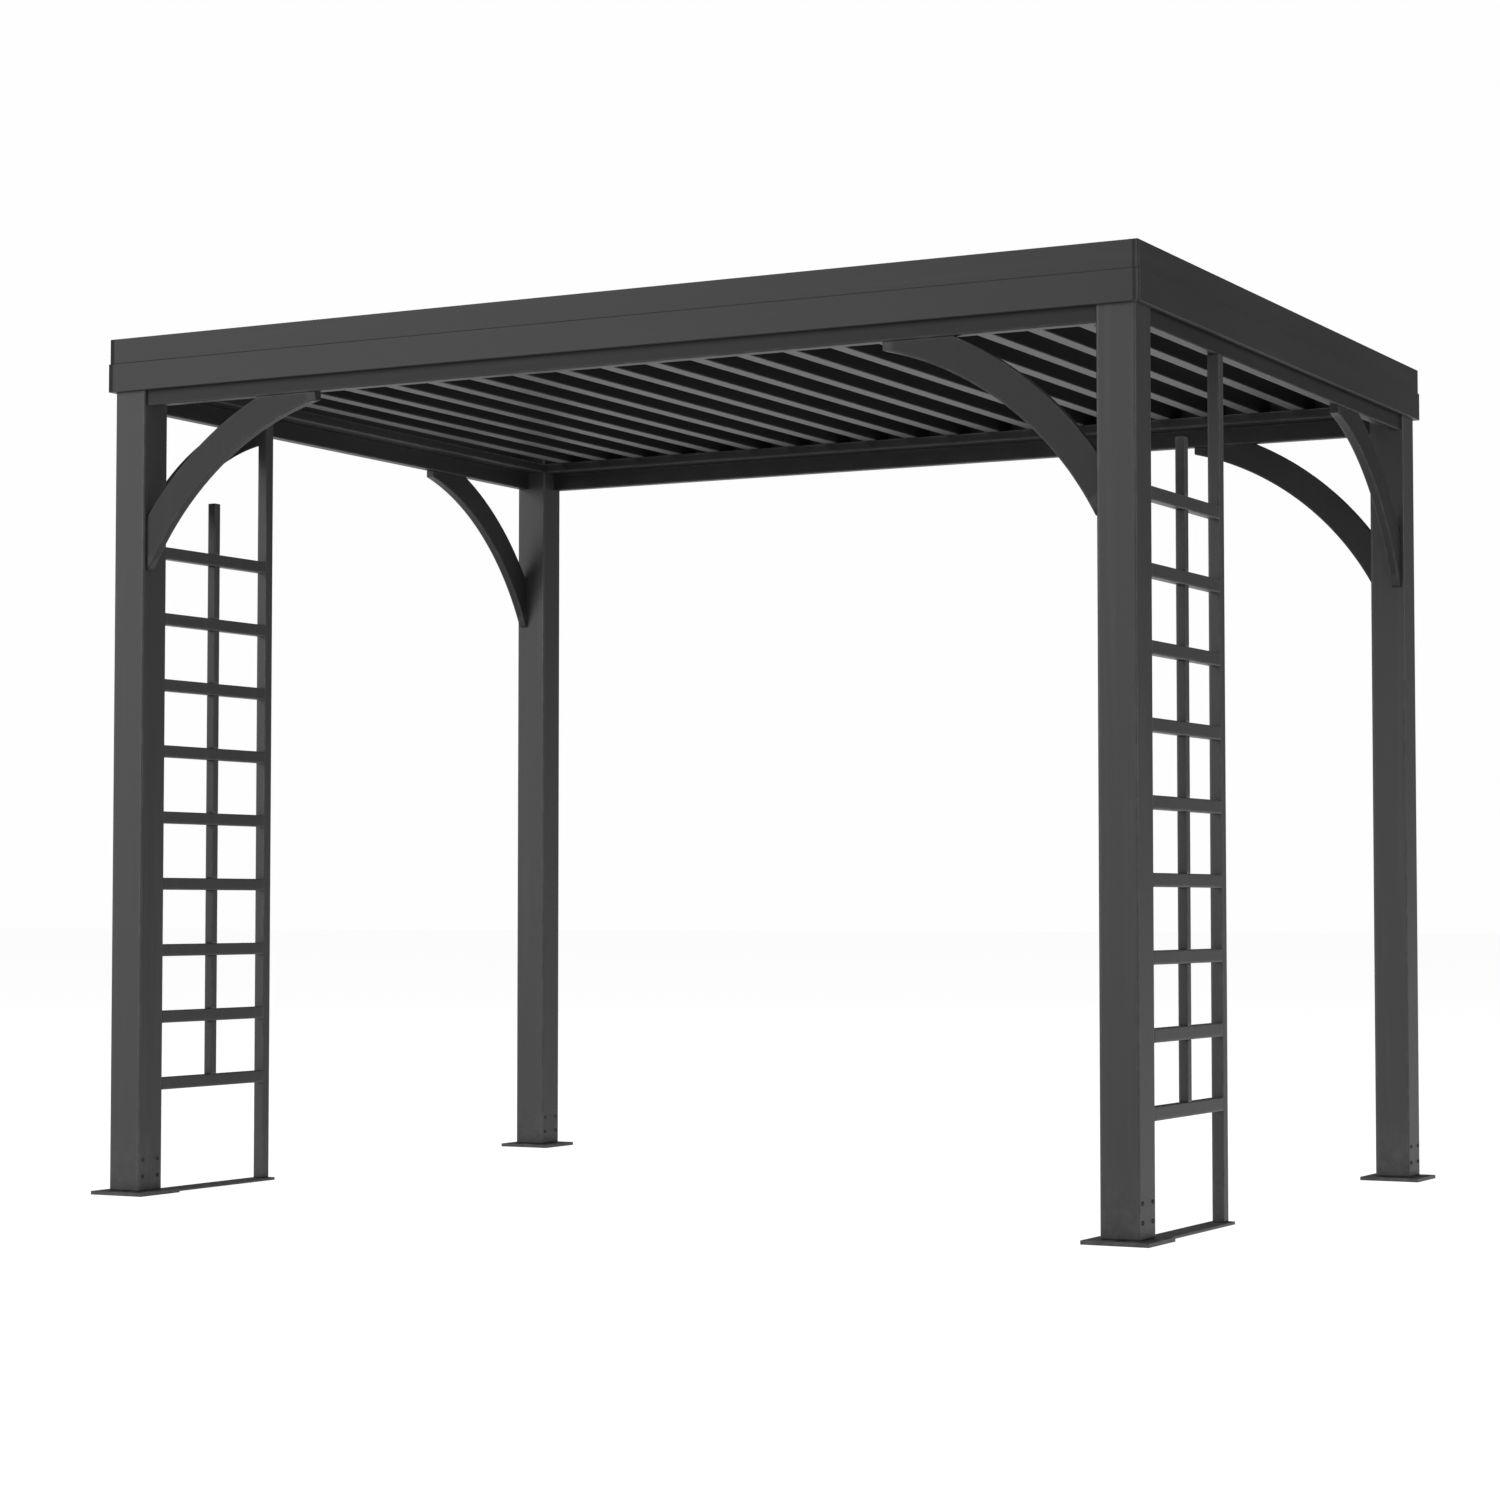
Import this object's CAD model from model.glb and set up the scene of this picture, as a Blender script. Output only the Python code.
"""Garden pergola in satin charcoal powder coat, with a stepped fascia, slats, knee braces and two ladders.

Tubes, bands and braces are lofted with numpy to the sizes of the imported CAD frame, in metres. Feet, caps,
screws and bolts keep the frame's meshes. Every piece rides on the one body, "root".
"""

import math

import bpy
import numpy as np
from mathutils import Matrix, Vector


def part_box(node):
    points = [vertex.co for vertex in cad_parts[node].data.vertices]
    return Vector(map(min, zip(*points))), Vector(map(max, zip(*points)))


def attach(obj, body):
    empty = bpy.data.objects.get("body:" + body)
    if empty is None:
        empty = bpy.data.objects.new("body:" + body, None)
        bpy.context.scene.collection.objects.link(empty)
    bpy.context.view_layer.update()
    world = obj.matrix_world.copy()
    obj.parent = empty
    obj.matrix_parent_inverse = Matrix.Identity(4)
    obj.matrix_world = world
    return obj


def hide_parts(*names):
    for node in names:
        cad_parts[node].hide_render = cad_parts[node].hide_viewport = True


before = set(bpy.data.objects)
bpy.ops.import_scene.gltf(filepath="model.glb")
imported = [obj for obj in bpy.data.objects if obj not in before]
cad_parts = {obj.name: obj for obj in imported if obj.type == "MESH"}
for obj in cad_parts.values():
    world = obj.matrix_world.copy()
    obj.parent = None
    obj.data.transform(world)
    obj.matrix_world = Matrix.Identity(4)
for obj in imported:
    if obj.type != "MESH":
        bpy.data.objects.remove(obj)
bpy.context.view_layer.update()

# ---- Sizes read from the frame --------------------------------------------------------------

MM = 0.001
CORNERS = ("front_left", "front_right", "back_right", "back_left")
SIDES = ("front", "right", "back", "left")
OUTWARD = {"front": (0, -1), "right": (1, 0), "back": (0, 1), "left": (-1, 0)}

ARC_STEPS = 4              # faces round each rounded edge
END_STEPS = 3              # sections that round off a bar's end
WEAR_REACH = 5 * MM        # how far from an edge its wear fades out
BRACE_RADIUS = 870 * MM    # inner edge of a knee brace
BRACE_WIDTH = 84 * MM
BRACE_TIP = 22 * MM        # upright end of a knee brace under the beam
BRACE_STEPS = 48           # sections along a knee brace
THINNEST = 3.5 * MM        # a knee brace starts where it is this wide
MITRE_GAP = 0.35 * MM      # hairline on each side of a fascia corner

# Radius of the rounded edges
POST_EDGE = 4 * MM
TUBE_EDGE = 2 * MM
MID_BAR_EDGE = 1.5 * MM
STRAP_EDGE = 1.2 * MM
BAND_EDGE = 1.5 * MM


def node_box(name):
    """A node's lowest and highest corner as arrays."""
    lo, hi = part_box(name)
    return np.array(lo), np.array(hi)


def node_parts(name):
    """The boxes of a node's separate solids, sorted by their lowest corner."""
    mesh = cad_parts[name].data
    points = np.zeros(len(mesh.vertices) * 3)
    mesh.vertices.foreach_get("co", points)
    points = points.reshape(-1, 3)
    corners = np.zeros(len(mesh.loops), int)
    mesh.loops.foreach_get("vertex_index", corners)
    places, merged = np.unique(np.round(points, 5), axis=0, return_inverse=True)
    faces = merged.reshape(-1)[corners].reshape(-1, 3)
    label = np.arange(len(places))
    while True:
        lowest = label[faces].min(axis=1)
        spread = label.copy()
        for column in range(3):
            np.minimum.at(spread, faces[:, column], lowest)
        spread = spread[spread]
        if (spread == label).all():
            break
        label = spread
    boxes = [(places[label == k].min(axis=0), places[label == k].max(axis=0)) for k in np.unique(label)]
    return sorted(boxes, key=lambda pair: tuple(pair[0]))


# ---- Meshes ---------------------------------------------------------------------------------


def rounded_outline(half_u, half_v, radius, reach):
    """Points round a rectangle with rounded corners, and 1 on the corner arcs or 0 beside them.

    Corner k turns through a quarter circle from angle 90k degrees. One point on each side of the arc, at
    distance reach, keeps the flats flat and ends the wear. All sizes may be arrays, one value a section.
    """
    us, vs, wear = [], [], []
    for k, (su, sv) in enumerate(((1, 1), (-1, 1), (-1, -1), (1, -1))):
        centre_u = su * (half_u - radius)
        centre_v = sv * (half_v - radius)
        turn = np.radians(90 * k + np.linspace(0, 90, ARC_STEPS + 1))
        along_v = k % 2 == 0
        us.append(centre_u + radius * np.cos(turn[0]) - (0 if along_v else su * reach))
        vs.append(centre_v + radius * np.sin(turn[0]) - (sv * reach if along_v else 0))
        wear.append(0)
        for angle in turn:
            us.append(centre_u + radius * np.cos(angle))
            vs.append(centre_v + radius * np.sin(angle))
            wear.append(1)
        us.append(centre_u + radius * np.cos(turn[-1]) - (su * reach if along_v else 0))
        vs.append(centre_v + radius * np.sin(turn[-1]) - (0 if along_v else sv * reach))
        wear.append(0)
    return np.stack(us, axis=-1), np.stack(vs, axis=-1), np.array(wear)


def merge_solids(solids):
    """Joins (points, quads, ends, wear) solids into one, moving the face indices along."""
    points, quads, ends, wear, start = [], [], [], [], 0
    for p, q, e, w in solids:
        points.append(p)
        quads.append(q + start)
        ends += [[int(i) + start for i in end] for end in e]
        wear.append(w)
        start += len(p)
    return np.concatenate(points), np.concatenate(quads), ends, np.concatenate(wear)


def loft(centres, u_axes, v_axes, half_u, half_v, radius, worn_ends=True):
    """A closed solid through rounded rectangles, one for each centre.

    Point (k, j) is centre[k] + u[j] * u_axis[k] + v[j] * v_axis[k]. Neighbouring sections are joined by quads
    and the two end sections are filled.
    """
    count = len(centres)
    sizes = (half_u, half_v, radius)
    half_u, half_v, radius = (np.broadcast_to(np.asarray(x, float), (count,)) for x in sizes)
    reach = np.minimum(WEAR_REACH, 0.45 * (np.minimum(half_u, half_v) - radius))
    u, v, wear = rounded_outline(half_u, half_v, radius, np.maximum(reach, 0.01 * MM))
    ring = u.shape[1]
    points = centres[:, None] + u[..., None] * u_axes[:, None] + v[..., None] * v_axes[:, None]
    k, j = np.meshgrid(np.arange(count - 1), np.arange(ring), indexing="ij")
    a = k * ring + j
    b = k * ring + (j + 1) % ring
    quads = np.stack([a, b, b + ring, a + ring], axis=-1).reshape(-1, 4)
    ends = [list(range(ring))[::-1], [(count - 1) * ring + i for i in range(ring)]]
    if np.dot(np.cross(u_axes[0], v_axes[0]), centres[-1] - centres[0]) < 0:
        quads = quads[:, ::-1]
        ends = [end[::-1] for end in ends]
    mask = np.tile(wear, (count, 1)).astype(float)
    if worn_ends:
        mask[:END_STEPS] = 1
        mask[-END_STEPS:] = 1
    return points.reshape(-1, 3), quads, ends, mask.ravel()


def rounded_bar(lo, hi, axis, radius):
    """A box with all its edges rounded, made as a loft along one axis.

    Near each end the section shrinks by r - sqrt(r^2 - (r - t)^2) at the distance t from the end.
    """
    lo, hi = np.array(lo, float), np.array(hi, float)
    middle, half = (lo + hi) / 2, (hi - lo) / 2
    turn = np.linspace(0, math.pi / 2, END_STEPS)
    depth = radius * (1 - np.sin(turn))[::-1] * 0.95
    shrink = radius * (1 - np.cos(turn))[::-1] * 0.95
    length = hi[axis] - lo[axis]
    support = min(WEAR_REACH, 0.2 * length)
    along = np.concatenate([depth, [support], [length - support], length - depth[::-1]])
    inset = np.concatenate([shrink, [0, 0], shrink[::-1]])
    u_axis, v_axis = np.roll(np.eye(3), -axis - 1, axis=0)[:2]
    centres = np.tile(middle, (len(along), 1))
    centres[:, axis] = lo[axis] + along
    ones = np.ones((len(along), 1))
    return loft(
        centres,
        ones * u_axis,
        ones * v_axis,
        half @ u_axis - inset,
        half @ v_axis - inset,
        radius - inset,
    )


def build(name, solids, material, *nodes):
    """Makes one piece from solids, with its wear attribute, and lets it stand for CAD nodes."""
    points, quads, ends, wear = merge_solids(solids)
    mesh = bpy.data.meshes.new(name)
    mesh.from_pydata(points, [], quads.tolist() + ends)
    mesh.update()
    attribute = mesh.attributes.new("edge_wear", "FLOAT", "POINT")
    attribute.data.foreach_set("value", wear.astype(np.float32))
    smooth = np.ones(len(mesh.polygons), bool)
    smooth[len(quads):] = False
    mesh.polygons.foreach_set("use_smooth", smooth)
    mesh.materials.append(material)
    piece = bpy.data.objects.new(name, mesh)
    bpy.context.scene.collection.objects.link(piece)
    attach(piece, "root")
    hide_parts(*nodes)
    return piece


# ---- Shader maths ---------------------------------------------------------------------------


class Value:
    """A shader socket that can be used in arithmetic: each operator adds one Math node."""

    def __init__(self, shader, socket):
        self.shader = shader
        self.socket = socket

    def _math(self, operation, *values):
        return self.shader.node("Math", {"operation": operation}, dict(enumerate(values)))

    def __add__(self, other):
        return self._math("ADD", self, other)

    __radd__ = __add__

    def __sub__(self, other):
        return self._math("SUBTRACT", self, other)

    def __rsub__(self, other):
        return self._math("SUBTRACT", other, self)

    def __mul__(self, other):
        return self._math("MULTIPLY", self, other)

    __rmul__ = __mul__

    def clamped(self):
        return self.shader.node("Clamp", {}, {"Value": self})

    def step(self, low, high):
        """0 below low and 1 above high, smooth between."""
        return self.shader.node(
            "MapRange",
            {"interpolation_type": "SMOOTHSTEP"},
            {"Value": self, "From Min": low, "From Max": high},
        )


class Shader:
    """One material's node tree."""

    def __init__(self, name):
        self.material = bpy.data.materials.new(name)
        self.material.use_nodes = True
        self.tree = self.material.node_tree
        self.surface = self.tree.nodes["Principled BSDF"]

    def node(self, kind, settings, inputs, output=0):
        """Adds a node, sets it up, fills or links its inputs, and returns one output."""
        added = self.tree.nodes.new("ShaderNode" + kind)
        for key, value in settings.items():
            setattr(added, key, value)
        for key, value in inputs.items():
            self.feed(added.inputs[key], value)
        return Value(self, added.outputs[output])

    def feed(self, socket, value):
        if isinstance(value, Value):
            self.tree.links.new(value.socket, socket)
        else:
            socket.default_value = value

    def place(self, scale=(1, 1, 1)):
        """Object coordinates in metres, stretched by scale."""
        place = self.node("TexCoord", {}, {}, "Object")
        return self.node("Mapping", {}, {"Vector": place, "Scale": scale})

    def noise(self, scale, detail=3.0, stretch=(1, 1, 1), roughness=0.5):
        return self.node(
            "TexNoise",
            {},
            {"Vector": self.place(stretch), "Scale": scale, "Detail": detail, "Roughness": roughness},
            "Fac",
        )

    def grain(self, scale):
        return self.node("TexVoronoi", {}, {"Vector": self.place(), "Scale": scale}, "Distance")

    def mix(self, factor, a, b):
        """Colour a where factor is 0 and b where it is 1."""
        return self.node("Mix", {"data_type": "RGBA"}, {0: factor, 6: a, 7: b}, 2)

    def facing_up(self):
        """1 on faces that look up, 0 on the rest."""
        normal = self.node("NewGeometry", {}, {}, "Normal")
        height = self.node("SeparateXYZ", {}, {"Vector": normal}, "Z")
        return height.step(0.6, 0.95)

    def height(self):
        """Height above the floor in metres."""
        return self.node("SeparateXYZ", {}, {"Vector": self.place()}, "Z")

    def attribute(self, name):
        return self.node("Attribute", {"attribute_name": name}, {}, "Fac")

    def bump(self, height, strength, distance):
        values = {"Height": height, "Strength": strength, "Distance": distance}
        self.feed(self.surface.inputs["Normal"], self.node("Bump", {}, values, "Normal"))

    def set(self, **values):
        for key, value in values.items():
            self.feed(self.surface.inputs[key.replace("_", " ")], value)


# ---- Finishes -------------------------------------------------------------------------------

CHARCOALS = ((0.0255, 0.0257, 0.0268, 1), (0.0310, 0.0312, 0.0322, 1), (0.0400, 0.0403, 0.0415, 1))
WORN_EDGE = (0.105, 0.106, 0.108, 1)
UNDERSIDE = (0.070, 0.070, 0.072, 1)
UNDERSIDE_FADE = 3 * MM    # height over which the paler underside ends
DUST = (0.22, 0.205, 0.18, 1)
DUST_HEIGHT = 0.22         # dust splashes up to here


def powder_coat(name, stretch, tone=1.0, roughness=0.46, dust=0.35, specular=0.3, pale_below=None):
    """Satin textured powder coat.

    The colour drifts between two charcoals in soft patches, stretched along the piece, with thin streaks of a
    third. Rounded edges are rubbed a little paler, and dust lies on what looks up and low down. Two sizes of
    grain make the fine orange peel. Below the height pale_below it is paler. Tone scales the colours.
    """
    s = Shader(name)
    patches = s.noise(2.2, 4, stretch)
    streaks = s.noise(38, 3, tuple(0.04 if k < 1 else 1 for k in stretch), 0.6)
    dark, middle, light = (tuple(tone * c for c in tint[:3]) + (1,) for tint in CHARCOALS)
    colour = s.mix(patches.step(0.35, 0.65), dark, middle)
    colour = s.mix(streaks.step(0.5, 0.78) * 0.55, colour, light)
    if pale_below is not None:
        pale = (1 - s.height().step(pale_below, pale_below + UNDERSIDE_FADE)) * (patches * 0.4 + 0.7)
        colour = s.mix(pale.clamped(), colour, UNDERSIDE)
    rubbed = s.attribute("edge_wear") * (s.noise(22, 4).step(0.42, 0.66) * 0.6 + 0.4)
    colour = s.mix(rubbed * 0.22, colour, WORN_EDGE)
    low = 1 - s.height().step(0.0, DUST_HEIGHT)
    specks = s.noise(30, 5, (1, 1, 1), 0.65).step(0.35, 0.7)
    settled = (s.facing_up() * 0.6 + low * 0.35) * specks * dust
    colour = s.mix(settled.clamped(), colour, DUST)
    fine = s.noise(900, 2)
    peel = s.grain(420)
    gloss = patches * 0.10 + fine * 0.08 + settled * 0.3 - rubbed * 0.08 + (roughness - 0.09)
    s.set(
        Base_Color=colour,
        Roughness=gloss.clamped(),
        Coat_Weight=0.04,
        Coat_Roughness=0.35,
        Specular_IOR_Level=specular,
    )
    s.bump(peel * 0.6 + fine * 0.4, 0.22, 0.0004)
    return s.material


POST_COAT = powder_coat("post_powder_coat", (1, 1, 0.25))
FASCIA_COAT = powder_coat("fascia_powder_coat", (0.3, 0.3, 1), tone=0.72, specular=0.25)
BEAM_COAT = powder_coat("beam_powder_coat", (0.4, 0.4, 1), tone=0.5, specular=0.15)
PALE_BELOW = node_box("slat_01")[0][2] + 1 * MM    # just above the slats' lower faces
SLAT_COAT = powder_coat("slat_powder_coat", (1, 0.25, 1), tone=0.3, specular=0.08, pale_below=PALE_BELOW)
BRACE_COAT = powder_coat("brace_powder_coat", (1, 1, 0.6), tone=0.42, specular=0.2)
LADDER_COAT = powder_coat("ladder_powder_coat", (1, 1, 0.4))
FOOT_COAT = powder_coat("foot_powder_coat", (1, 1, 1), dust=0.5)


def screw_finish():
    """Black oxide on the button heads, clouded with paler metal."""
    s = Shader("black_oxide_screw")
    cloud = s.noise(350, 3)
    s.set(
        Base_Color=s.mix(cloud.step(0.5, 0.75), (0.03, 0.03, 0.032, 1), (0.12, 0.12, 0.125, 1)),
        Metallic=0.8,
        Roughness=cloud * 0.25 + 0.3,
    )
    s.bump(s.noise(1500, 2), 0.2, 0.0002)
    return s.material


def zinc_finish():
    """Zinc plate on the hidden bolts, with the pale spangle of a passivated surface."""
    s = Shader("zinc_plated_bolt")
    spangle = s.grain(260)
    s.set(
        Base_Color=s.mix(spangle.step(0.1, 0.6), (0.50, 0.51, 0.53, 1), (0.66, 0.66, 0.64, 1)),
        Metallic=1.0,
        Roughness=spangle * 0.2 + 0.28,
    )
    s.bump(s.noise(700, 3), 0.15, 0.0002)
    return s.material


# ---- Frame pieces ---------------------------------------------------------------------------


def simple_pieces():
    """Posts, slats, beams, stiles, straps and grouped tubes: each solid of a node is one rounded bar."""
    kinds = (
        ("post_", POST_EDGE, POST_COAT),
        ("slat_", TUBE_EDGE, SLAT_COAT),
        ("beam_", TUBE_EDGE, BEAM_COAT),
    )
    ladder_parts = (
        ("stile", 2, TUBE_EDGE),
        ("rails", 1, TUBE_EDGE),
        ("mid_bars", 2, MID_BAR_EDGE),
        ("foot_strap", 1, STRAP_EDGE),
    )
    for name in sorted(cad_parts):
        for prefix, radius, material in kinds:
            if name.startswith(prefix) and name != "post_caps":
                lo, hi = node_box(name)
                longest = int(np.argmax(hi - lo))
                build(name + "_tube", [rounded_bar(lo, hi, longest, radius)], material, name)
    for side in ("left", "right"):
        for part, axis, radius in ladder_parts:
            name = f"trellis_{side}_{part}"
            bars = [rounded_bar(lo, hi, axis, radius) for lo, hi in node_parts(name)]
            build(name + "_bar", bars, LADDER_COAT, name)
    build("ledge_tubes", [ledge(side) for side in SIDES], BEAM_COAT, "ledges")


def ledge(side):
    """A ledge is as long as its beam, as wide as the posts and as tall as the ledges' node."""
    lo, hi = node_box("beam_" + side)
    run = int(np.argmax(hi - lo))
    near = node_box("post_back_right") if side in ("back", "right") else node_box("post_front_left")
    across = 1 - run
    lo[across], hi[across] = near[0][across], near[1][across]
    lo[2], hi[2] = node_box("ledges")[0][2], node_box("ledges")[1][2]
    return rounded_bar(lo, hi, run, TUBE_EDGE)


def fascia_band(side, level):
    """One mitred band.

    A rounded section is carried along the side, and at each end its outward axis leans 45 degrees, so that
    two bands meet on the corner's diagonal with a hairline between them.
    """
    name = f"fascia_{level}_{side}"
    lo, hi = node_box(name)
    middle, half = (lo + hi) / 2, (hi - lo) / 2
    out = np.array((*OUTWARD[side], 0.0))
    run = np.array((-out[1], out[0], 0.0))
    half_run = abs(half @ run)
    depth = abs(half @ out)
    along = np.array([-1, -1, 1, 1]) * (half_run - depth - MITRE_GAP)
    along[1:3] *= 1 - 2 * WEAR_REACH / half_run
    lean = np.array([-1, 0, 0, 1])
    centres = middle + along[:, None] * run
    u_axes = out + lean[:, None] * run
    v_axes = np.tile((0.0, 0.0, 1.0), (len(along), 1))
    points, quads, ends, wear = loft(centres, u_axes, v_axes, depth, half[2], BAND_EDGE, worn_ends=False)
    wear = 0.2 * wear.reshape(len(along), -1)
    wear[[0, -1]] = 0.6
    build(name + "_band", [(points, quads, ends, wear.ravel())], FASCIA_COAT, name)


def brace_bar(name):
    """Curved brace between two arcs of one centre.

    Radial lines sweep from the post to the beam. Each runs from the inner arc outward, and stops at the outer
    arc, the post's face or the beam's underside, whichever is first. The last line is upright, at the square
    tip. Centre and radii follow from the reach, the drop, the tip and the inner radius.
    """
    lo, hi = node_box(name)
    _, side, end = name.split("_")
    along_axis = 0 if side in ("front", "back") else 1
    reach, drop = (hi - lo)[along_axis], (hi - lo)[2]
    sign = 1 if end in ("left", "front") else -1
    start = lo[along_axis] if sign > 0 else hi[along_axis]
    chord = np.array([reach, BRACE_TIP - drop])
    length = np.hypot(*chord)
    back = math.sqrt(BRACE_RADIUS**2 - length**2 / 4)
    centre = np.array([reach / 2, (drop + BRACE_TIP) / 2]) + back * np.array([-chord[1], chord[0]]) / length
    first = math.atan2(drop - centre[1], 0 - centre[0])
    last = math.atan2(BRACE_TIP - centre[1], reach - centre[0])
    outer = BRACE_RADIUS + BRACE_WIDTH
    bend_post = math.atan2(-math.sqrt(outer**2 - centre[0] ** 2), -centre[0])
    bend_beam = math.atan2(-centre[1], -math.sqrt(outer**2 - centre[1] ** 2))
    angles = np.unwrap(np.array([first, last, bend_post, bend_beam]))
    sweep = np.unique(np.concatenate([np.linspace(angles[0], angles[1], BRACE_STEPS + 1), angles[2:]]))
    sweep = sweep[:: 1 if abs(sweep[0] - angles[0]) < 1e-9 else -1]
    ray = np.stack([np.cos(sweep), np.sin(sweep)], axis=-1)
    stop = np.minimum(outer, np.minimum(-centre[0] / ray[:, 0], -centre[1] / ray[:, 1]))
    inner_line = centre + BRACE_RADIUS * ray
    outer_line = centre + stop[:, None] * ray
    inner_line = np.vstack([inner_line, inner_line[-1:]])
    outer_line = np.vstack([outer_line, [[reach, 0.0]]])
    wide = np.hypot(*(outer_line - inner_line).T)
    keep = wide > THINNEST
    inner_line, outer_line, wide = inner_line[keep], outer_line[keep], wide[keep]

    def to_frame(flat):
        """(u along the beam, d below it) to a point in the brace's middle plane."""
        points = np.tile((lo + hi) / 2, (len(flat), 1))
        points[:, along_axis] = start + sign * flat[:, 0]
        points[:, 2] = hi[2] - flat[:, 1]
        return points

    a, b = to_frame(inner_line), to_frame(outer_line)
    u_axes = (b - a) / wide[:, None]
    v_axes = np.zeros((len(a), 3))
    v_axes[:, 1 - along_axis] = 1
    half_thick = (hi - lo)[1 - along_axis] / 2
    edge = np.minimum(TUBE_EDGE, wide / 4)
    solid = loft((a + b) / 2, u_axes, v_axes, wide / 2, half_thick, edge)
    build(name + "_bar", [solid], BRACE_COAT, name)


def feet_and_fasteners():
    """Feet, caps, screws and bolts keep their CAD meshes and take a finish."""
    finishes = {"foot_" + corner: FOOT_COAT for corner in CORNERS}
    finishes.update(post_caps=POST_COAT, foot_screws=screw_finish(), frame_bolts=zinc_finish())
    for name, material in finishes.items():
        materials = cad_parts[name].data.materials
        materials.clear()
        materials.append(material)


simple_pieces()
for side in SIDES:
    fascia_band(side, "low")
    fascia_band(side, "top")
for brace in sorted(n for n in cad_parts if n.startswith("brace_")):
    brace_bar(brace)
feet_and_fasteners()

# ---- Studio ---------------------------------------------------------------------------------

FLOOR_REACH = 90.0
FLOOR_GLOW = 0.94
BACKDROP = 0.99            # what the camera sees behind the floor
AMBIENT = 0.12             # light that the backdrop gives to the pergola
AIM = (0, 0, 1.2)
SOFTBOXES = (
    # name, place, side, watts
    ("key_softbox", (-13.0, -20.0, 5.0), 18.0, 3700),
    ("fill_softbox", (24.0, -4.0, 5.0), 14.0, 2300),
    ("overhead_softbox", (0.0, 0.0, 10.0), 6.0, 500),
)
CAMERA_PLACE = (4.4946, -8.6385, 0.8023)
CAMERA_RISE = 0.0463       # radians above level
CAMERA_TURN = 0.4894       # radians to the left of +Y
CAMERA_LENS = 81.0


def studio_floor():
    """Plain pale floor, wide enough to run past the view. Its own light keeps the shadows faint."""
    s = Shader("pale_floor")
    s.set(
        Base_Color=(0.25, 0.25, 0.25, 1),
        Roughness=0.9,
        Specular_IOR_Level=0.0,
        Emission_Color=(1, 1, 1, 1),
        Emission_Strength=FLOOR_GLOW,
    )
    corners = [(x * FLOOR_REACH, y * FLOOR_REACH, 0) for x, y in ((-1, -1), (1, -1), (1, 1), (-1, 1))]
    mesh = bpy.data.meshes.new("floor")
    mesh.from_pydata(corners, [], [(0, 1, 2, 3)])
    mesh.materials.append(s.material)
    floor = bpy.data.objects.new("floor", mesh)
    bpy.context.scene.collection.objects.link(floor)


def studio_light(name, place, size, power):
    """A square soft box at place, aimed at the pergola's middle."""
    data = bpy.data.lights.new(name, "AREA")
    data.shape = "SQUARE"
    data.size = size
    data.energy = power
    light = bpy.data.objects.new(name, data)
    light.location = place
    aim = Vector(AIM) - Vector(place)
    light.rotation_euler = aim.to_track_quat("-Z", "Y").to_euler()
    light.visible_camera = False
    bpy.context.scene.collection.objects.link(light)


def studio_world():
    """A white backdrop of one strength, which lights the pergola with another."""
    world = bpy.data.worlds.new("soft_white")
    world.use_nodes = True
    tree = world.node_tree
    rays = tree.nodes.new("ShaderNodeLightPath")
    strength = tree.nodes.new("ShaderNodeMapRange")
    strength.inputs["To Min"].default_value = AMBIENT
    strength.inputs["To Max"].default_value = BACKDROP
    tree.links.new(rays.outputs["Is Camera Ray"], strength.inputs["Value"])
    tree.nodes["Background"].inputs["Color"].default_value = (1, 1, 1, 1)
    tree.links.new(strength.outputs["Result"], tree.nodes["Background"].inputs["Strength"])
    bpy.context.scene.world = world


def camera():
    """Camera front right of the pergola, at the height of a table top, looking slightly up."""
    data = bpy.data.cameras.new("camera")
    data.lens = CAMERA_LENS
    data.sensor_width = 36.0
    data.clip_end = 300
    cam = bpy.data.objects.new("camera", data)
    cam.location = CAMERA_PLACE
    cam.rotation_euler = (math.radians(90) + CAMERA_RISE, 0, CAMERA_TURN)
    bpy.context.scene.collection.objects.link(cam)
    bpy.context.scene.camera = cam


studio_floor()
studio_world()
for name, place, size, power in SOFTBOXES:
    studio_light(name, place, size, power)
camera()
bpy.context.scene.view_settings.view_transform = "Standard"
